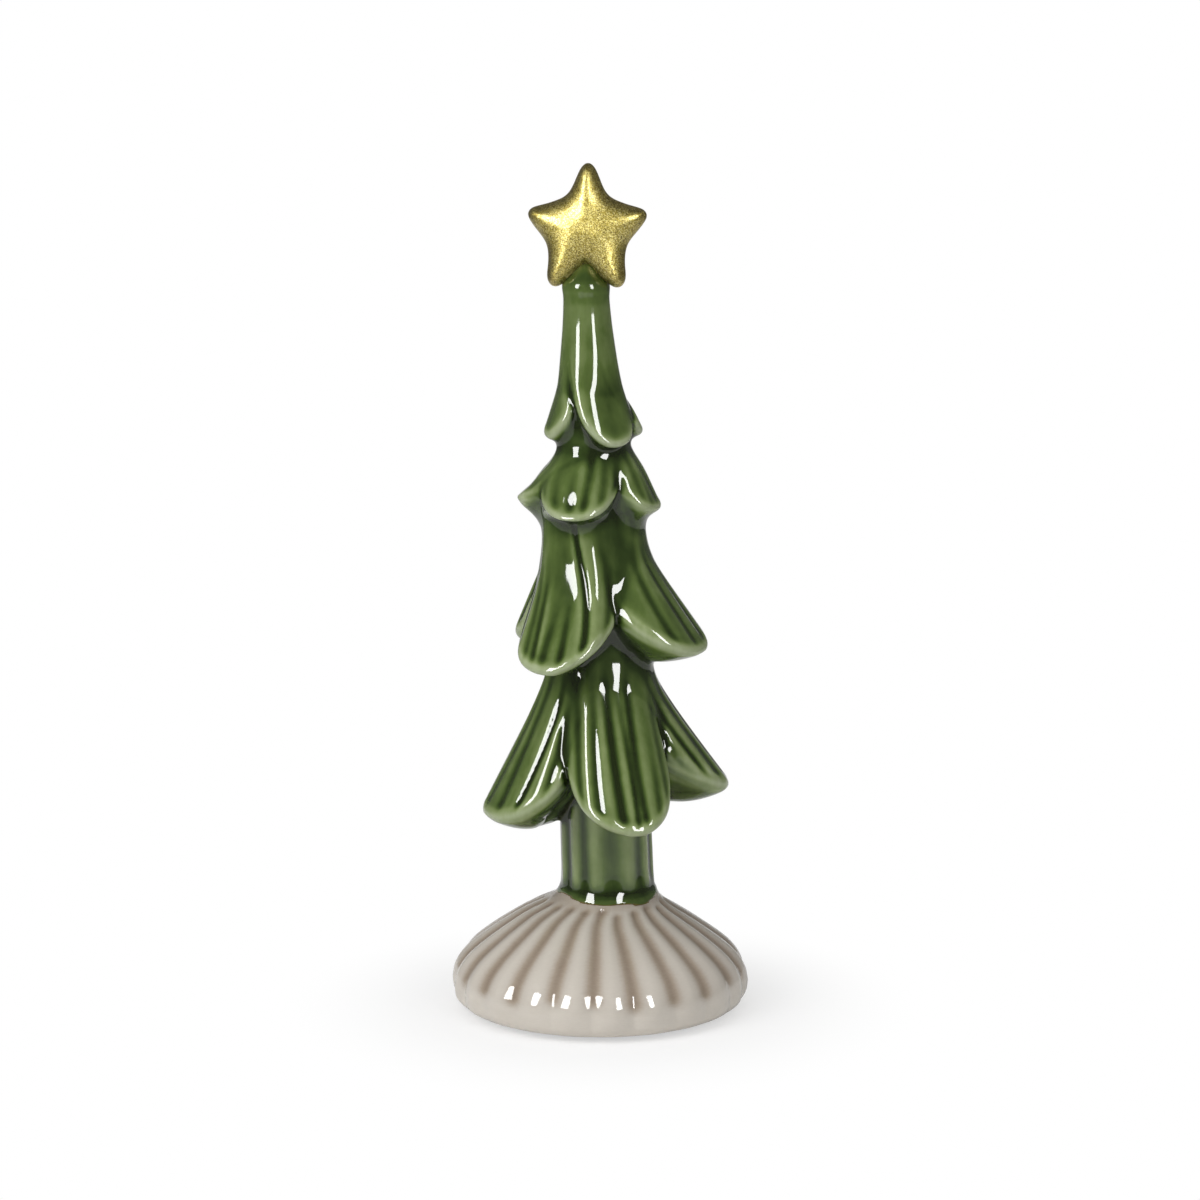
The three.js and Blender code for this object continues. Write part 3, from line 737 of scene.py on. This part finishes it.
class TREE_OT_skin(bpy.types.Operator):
    """Model the green tree: trunk and boughs in one fused and glazed skin"""

    bl_idname = "tree.skin"
    bl_label = "Green Tree"

    def execute(self, context):
        settings = context.scene.tree_skin
        field = tree_field(settings)
        low, step = LATTICE_LOW, settings.mesh_step
        points, faces = surface(low, step, field)
        for _ in range(2):
            points = drawn_onto(low, step, field, points)
        normals = gradient_normals(low, step, field, points)
        narrow = sampled(low, step, softened(field, 1), points)
        wide = sampled(low, step, softened(field, 4), points)
        # Painted shade: the creases between boughs and under their rims are darkened here along with pooled
        # glaze
        pool_and_shade = -NARROW_POOL_AND_SHADE * narrow - WIDE_POOL_AND_SHADE * (wide - COUNTS_AS_FLAT)
        depth = 0.5 + 0.5 * np.tanh(pool_and_shade)
        depth += settled_glaze_and_shade(points, settings)
        piece = new_piece("green_tree", points, faces, green_glaze(context.scene.tree_look))
        add_values(piece, "glaze_depth", np.clip(depth, 0, 1))
        add_values(piece, "glaze_edge", 1 - smooth((above_border(points) - AMBER_HEIGHT) / AMBER_FADE))
        piece.data.normals_split_custom_set_from_vertices(normals.tolist())
        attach(piece, "root")
        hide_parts(*TREE_NODES)
        return {"FINISHED"}


# The foot's outside and inside as radius and height in millimetres, down from the neck to the ring that it
# stands on and up again inside. They are drawn for this widest radius and a neck at NECK_HEIGHT.
FOOT_OUTSIDE = [
    (16.6, 46), (17.4, 43), (18.5, 40.8), (21.4, 38), (30, 33), (40, 26.5), (47.8, 20.6), (51.8, 16.4),
    (54, 12.6), (54.8, 9.2), (55, 6.8), (54.3, 3.2), (52.2, 0.8), (50, 0),
]
FOOT_INSIDE = [(46.4, 0), (45.6, 1), (44.6, 9), (39.6, 19), (27.5, 27), (18, 31), (12.6, 33.5), (12.6, 46)]
FOOT_WIDEST = 55

# The rows of points down the outside and up the inside, and the points across each flute
FOOT_OUTSIDE_ROWS = 110
FOOT_INSIDE_ROWS = 48
FLUTE_COLUMNS = 20

# Where the first flute begins, in degrees. How softly a groove's bottom is rounded, and how far the groove
# may be off the middle, are shares of a flute.
FLUTE_TURN = -3
FLUTE_SOFTNESS = 0.07
FLUTE_SHIFT = 0.05

# A flute deepens over this length as the dome spreads out from the neck, and runs out over this height above
# a level a little below the table
FLUTE_RISE = 3.5 * MM
FLUTE_RUN_OUT = 9 * MM
FLUTE_BELOW = 2 * MM

# The depth of glaze on the foot: on a ridge, on a flute's flanks and in its middle, where it fades out over a
# height above the foot ring, and on the neck, from a height on and over a length
RIDGE_DEPTH = 0.05
FLANK_DEPTH = 0.25
MIDDLE_DEPTH = 0.4
TINT_FADE = 6 * MM
NECK_DEPTH, NECK_GLAZE_Z, NECK_GLAZE_RISE = 0.35, 36 * MM, 4 * MM


def fluted_foot(foot):
    """The foot's points, row by row from the neck down and up inside, and the depth of glaze at each."""
    scale = (foot.radius / FOOT_WIDEST, foot.height / NECK_HEIGHT)
    outside = curve_through(FOOT_OUTSIDE, FOOT_OUTSIDE_ROWS) * scale
    inside = curve_through(FOOT_INSIDE, FOOT_INSIDE_ROWS) * scale
    radius, z = np.concatenate([outside, inside]).T[:, :, None]
    chance = np.random.default_rng(11)
    angles = np.linspace(0, 2 * math.pi, foot.flutes * FLUTE_COLUMNS, endpoint=False)
    flute = (angles - math.radians(FLUTE_TURN)) / (2 * math.pi) * foot.flutes
    which = np.floor(flute).astype(int) % foot.flutes
    # No two flutes are quite alike in where they lie, how deep they are, and where they begin and end
    off = flute - np.floor(flute) - 0.5 - chance.uniform(-FLUTE_SHIFT, FLUTE_SHIFT, foot.flutes)[which]
    depths = chance.uniform(0.8, 1.15, foot.flutes)[which]
    starts = chance.uniform(2.2, 4.6, foot.flutes)[which] * MM
    ends = chance.uniform(6, 9, foot.flutes)[which] * MM
    flank = np.clip(1 - 2 * (np.hypot(off, FLUTE_SOFTNESS) - FLUTE_SOFTNESS), 0, 1)
    shown = smooth((radius - radius[0] - starts) / FLUTE_RISE)
    shown[len(outside) :] = 0
    groove = depths * flank ** 2 * shown * smooth((z + FLUTE_BELOW) / FLUTE_RUN_OUT)
    reach = radius - foot.flute_depth * groove
    offset = axis_offset(np.minimum(z, foot.height))
    points = np.stack([offset + reach * np.cos(angles), reach * np.sin(angles), z + 0 * reach], axis=-1)
    span = 2 * math.pi * radius / foot.flutes
    width = foot.flute_width * (0.6 + 0.4 * radius / foot.radius)
    tint = FLANK_DEPTH * flank ** 2 + MIDDLE_DEPTH * np.exp(-((off * span / width) ** 2))
    neck = NECK_DEPTH * smooth((z - NECK_GLAZE_Z) / NECK_GLAZE_RISE)
    return points, RIDGE_DEPTH + tint * shown * smooth((z - ends) / TINT_FADE) + neck


class TREE_OT_foot(bpy.types.Operator):
    """Model the fluted dome foot, hollow below, with the ring that it stands on"""

    bl_idname = "tree.foot"
    bl_label = "Dome Foot"

    def execute(self, context):
        points, depth = fluted_foot(context.scene.tree_foot)
        rows, columns = depth.shape
        row, column = np.meshgrid(np.arange(rows), np.arange(columns), indexing="ij")
        here, below = row * columns, (row + 1) % rows * columns
        ahead = (column + 1) % columns
        faces = np.stack([here + column, below + column, below + ahead, here + ahead], axis=-1)
        glaze = sand_glaze(context.scene.tree_look)
        piece = new_piece("dome_foot", points.reshape(-1, 3), faces.reshape(-1, 4), glaze)
        add_values(piece, "glaze_depth", depth.reshape(-1))
        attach(piece, "root")
        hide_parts("base_dome")
        return {"FINISHED"}


# The right half of the star's outline, from its top point to the notch between its legs, as shares of half
# its width and half its height
STAR_HALF_OUTLINE = [
    (0, 1), (0.13, 0.89), (0.32, 0.545), (0.58, 0.418), (0.93, 0.327), (1, 0.227), (0.9, 0.073),
    (0.69, -0.164), (0.64, -0.382), (0.66, -0.618), (0.63, -0.745), (0.52, -0.809), (0.4, -0.764),
    (0.2, -0.636), (0, -0.455),
]
STAR_OUTLINE_POINTS = 160

# The star swells over one distance in from its outline, and over another rises evenly to ridges along its
# arms. Each gives a share of its thickness. Outside it the field grows to this share of the first distance.
STAR_EDGE, SWELL_SHARE = 6 * MM, 0.58
STAR_ROOF, ROOF_SHARE = 10 * MM, 0.42
STAR_CAP = 0.3

# The star's lattice and the room kept round it, and how many cells to each side soften its edges and ridges
STAR_STEP = 0.5 * MM
STAR_MARGIN = 3 * MM
STAR_SOFTENING = 3

STAR_PLACE = (-4.6 * MM, -0.5 * MM, 283.4 * MM)
STAR_TURN = math.radians(-9)
STAR_LEAN = math.radians(-6)


def outline_depth(outline, x, y):
    """How far each point of a plane lies inside a closed outline, less than 0 outside it."""
    nearest = np.full(x.shape, 1.0)
    crossings = np.zeros(x.shape, int)
    for (ax, ay), (bx, by) in zip(outline, np.roll(outline, -1, axis=0)):
        dx, dy = bx - ax, by - ay
        share = np.clip(((x - ax) * dx + (y - ay) * dy) / (dx * dx + dy * dy), 0, 1)
        nearest = np.minimum(nearest, np.hypot(x - ax - share * dx, y - ay - share * dy))
        spans = (ay > y) != (by > y)
        crossings += spans & (x < ax + dx * (y - ay) / (dy if dy else 1e-12))
    return np.where(crossings % 2 == 1, nearest, -nearest)


class TREE_OT_star(bpy.types.Operator):
    """Model the puffed star, thickest along the middles of its arms"""

    bl_idname = "tree.star"
    bl_label = "Star"

    def execute(self, context):
        star = context.scene.tree_star
        right = np.array(STAR_HALF_OUTLINE) * (star.width / 2, star.height / 2)
        left = right[-2:0:-1] * (-1, 1)
        outline = curve_through([*right, *left, right[0]], STAR_OUTLINE_POINTS)[:-1]
        low = -np.array([star.width, star.thickness, star.height]) / 2 - STAR_MARGIN
        axes = [np.arange(start, -start, STAR_STEP) for start in low]
        x, z = np.meshgrid(axes[0], axes[2], indexing="ij")
        depth = outline_depth(outline, x, z)
        swell = np.sqrt(1 - (1 - np.clip(depth / STAR_EDGE, 0, 1)) ** 2)
        roof = np.clip(depth / STAR_ROOF, 0, 1)
        half = star.thickness / 2 * (SWELL_SHARE * swell + ROOF_SHARE * roof)
        y = axes[1][None, :, None]
        outside = np.minimum(-depth, STAR_CAP * STAR_EDGE)
        field = softened(np.maximum(np.abs(y) - half[:, None, :], outside[:, None, :]), STAR_SOFTENING)
        points, faces = surface(low, STAR_STEP, field)
        points = drawn_onto(low, STAR_STEP, field, points)
        piece = new_piece("star", points, faces, gold_paint(context.scene.tree_look))
        place = Matrix.Translation(STAR_PLACE) @ Matrix.Rotation(STAR_TURN, 4, "Z")
        piece.data.transform(place @ Matrix.Rotation(STAR_LEAN, 4, "X"))
        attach(piece, "root")
        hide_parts("star")
        return {"FINISHED"}


# Floor and backdrop are one sheet of paper: half its width, and its shape from front to back as distance
# behind the tree and height. It shows the tree's shadow near by, and turns to plain white between these two
# distances, the first below 0 so that some white is in it everywhere. Reflections see this share of it.
PAPER_HALF = 0.5
PAPER_SWEEP = [(-0.9, 0), (-0.3, 0), (0.8, 0), (1.2, 0.08), (1.35, 0.3), (1.4, 0.55)]
PAPER_ROWS = 60
WHITE_FROM, WHITE_TO = -0.04, 0.12
WHITE_IN_GLOSS = 0.15

# How bright the room is that fills the shadows
ROOM_LIGHT = 0.14

# Each softbox's compass angle and rise in degrees, its width and height, its radiance, and whether it is one
# that shows in the gloss or one that lights the colours
SOFTBOXES = [
    ("key_softbox", -50, 35, (0.9, 1.2), 3.9, False),
    ("fill_softbox", 45, 30, (0.9, 1.2), 1.4, False),
    ("top_softbox", 0, 78, (1.4, 1.4), 1.1, False),
    ("key_reflection", -44, 23, (0.48, 1.0), 18, True),
    ("fill_reflection", 30, 23, (0.34, 1.0), 18, True),
]
SOFTBOX_AIM = Vector((0, 0, 0.15))
SOFTBOX_DISTANCE = 1.5

# The camera looks down on the tree by this many degrees, through a lens and onto a sensor in millimetres
CAMERA_PLACE = (0, -1.4, 0.428)
CAMERA_DOWN = 11.25
CAMERA_LENS = 118.14
CAMERA_SENSOR = 36


def studio_paper():
    """Matt white backdrop paper: lit and shaded near the tree, and seen as pure white further off."""
    material, tree = new_material("Studio paper")
    path = node(tree, "ShaderNodeLightPath")
    seen = node(
        tree, "ShaderNodeMath",
        {0: path.outputs["Is Glossy Ray"], 1: WHITE_IN_GLOSS, 2: path.outputs["Is Camera Ray"]},
        operation="MULTIPLY_ADD",
    )
    seen = node(
        tree, "ShaderNodeMath", {0: seen.outputs["Value"], 1: path.outputs["Is Transmission Ray"]},
        operation="ADD", use_clamp=True,
    )
    place = node(tree, "ShaderNodeNewGeometry").outputs["Position"]
    away = node(tree, "ShaderNodeVectorMath", {0: place}, operation="LENGTH").outputs["Value"]
    share = node(
        tree, "ShaderNodeMapRange", {"Value": away, "From Min": WHITE_FROM, "From Max": WHITE_TO},
        interpolation_type="SMOOTHSTEP",
    )
    amount = node(
        tree, "ShaderNodeMath", {0: seen.outputs["Value"], 1: share.outputs["Result"]}, operation="MULTIPLY"
    )
    paper = node(tree, "ShaderNodeBsdfDiffuse", {"Color": (*linear("#fbfbfb"), 1)})
    white = node(tree, "ShaderNodeEmission", {"Color": (1, 1, 1, 1), "Strength": 1.0})
    mixed = node(
        tree, "ShaderNodeMixShader",
        {"Fac": amount.outputs["Value"], 1: paper.outputs["BSDF"], 2: white.outputs["Emission"]},
    )
    node(tree, "ShaderNodeOutputMaterial", {"Surface": mixed.outputs["Shader"]})
    return material


def studio_world():
    """A dim even room that fills the shadows, and is seen as white past the backdrop."""
    world = bpy.data.worlds.new("studio")
    world.use_nodes = True
    tree = world.node_tree
    seen = node(tree, "ShaderNodeLightPath").outputs["Is Camera Ray"]
    strength = node(tree, "ShaderNodeMapRange", {"Value": seen, "To Min": ROOM_LIGHT, "To Max": 1.0})
    background = tree.nodes["Background"]
    background.inputs["Color"].default_value = (1, 1, 1, 1)
    tree.links.new(strength.outputs["Result"], background.inputs["Strength"])
    return world


def add_softbox(name, azimuth, elevation, size, radiance, glossy):
    """A softbox aimed at the tree. A glossy one shows only in reflections, the others only in matt colour."""
    lamp = bpy.data.lights.new(name, "AREA")
    lamp.shape = "RECTANGLE"
    lamp.size, lamp.size_y = size
    lamp.energy = radiance * math.pi * size[0] * size[1]
    box = bpy.data.objects.new(name, lamp)
    turn, rise = math.radians(azimuth), math.radians(elevation)
    away = Vector((math.sin(turn) * math.cos(rise), -math.cos(turn) * math.cos(rise), math.sin(rise)))
    box.location = SOFTBOX_AIM + SOFTBOX_DISTANCE * away
    box.rotation_euler = away.to_track_quat("Z", "Y").to_euler()
    box.visible_glossy = glossy
    box.visible_diffuse = not glossy
    bpy.context.scene.collection.objects.link(box)


def add_camera(scene):
    """A long lens in front of the tree, looking down a little."""
    camera = bpy.data.cameras.new("camera")
    camera.lens = CAMERA_LENS
    camera.sensor_width = CAMERA_SENSOR
    camera.clip_end = 20
    seen_from = bpy.data.objects.new("camera", camera)
    seen_from.location = CAMERA_PLACE
    seen_from.rotation_euler = (math.radians(90 - CAMERA_DOWN), 0, 0)
    scene.collection.objects.link(seen_from)
    scene.camera = seen_from


class TREE_OT_studio(bpy.types.Operator):
    """Set out the floor and backdrop, the softboxes and the camera"""

    bl_idname = "tree.studio"
    bl_label = "Studio"

    def execute(self, context):
        scene = context.scene
        scene.view_settings.view_transform = "Standard"
        sweep = curve_through(PAPER_SWEEP, PAPER_ROWS)
        points = np.array([(x, y, z) for y, z in sweep for x in (-PAPER_HALF, PAPER_HALF)])
        first = np.arange(len(sweep) - 1) * 2
        faces = np.stack([first, first + 1, first + 3, first + 2], axis=1)
        floor = new_piece("studio_sweep", points, faces, studio_paper())
        scene.world = studio_world()
        for softbox in SOFTBOXES:
            add_softbox(*softbox)
        add_camera(scene)
        return {"FINISHED"}


SETTINGS = {
    "tree_skin": TreeSettings,
    "tree_foot": FootSettings,
    "tree_star": StarSettings,
    "tree_look": LookSettings,
}
STEPS = (TREE_OT_skin, TREE_OT_foot, TREE_OT_star, TREE_OT_studio)


class TREE_PT_sidebar(bpy.types.Panel):
    """Lists the steps that model the tree, and its sizes and colours"""

    bl_idname = "TREE_PT_sidebar"
    bl_label = "Glazed Tabletop Tree"
    bl_space_type = "VIEW_3D"
    bl_region_type = "UI"
    bl_category = "Tree"

    def draw(self, context):
        for step in STEPS:
            self.layout.operator(step.bl_idname)
        for name in SETTINGS:
            box = self.layout.box()
            settings = getattr(context.scene, name)
            for field in settings.__annotations__:
                box.prop(settings, field)


def register():
    """Make the settings, the steps and the sidebar known to Blender."""
    for kind in (*SETTINGS.values(), *STEPS, TREE_PT_sidebar):
        bpy.utils.register_class(kind)
    for name, kind in SETTINGS.items():
        setattr(bpy.types.Scene, name, bpy.props.PointerProperty(type=kind))


def unregister():
    """Take away again what register added."""
    for name in SETTINGS:
        delattr(bpy.types.Scene, name)
    for kind in (TREE_PT_sidebar, *STEPS, *SETTINGS.values()):
        bpy.utils.unregister_class(kind)


def main():
    """Model the tree and its studio."""
    register()
    bpy.ops.tree.skin()
    bpy.ops.tree.foot()
    bpy.ops.tree.star()
    bpy.ops.tree.studio()


if __name__ == "__main__":
    main()
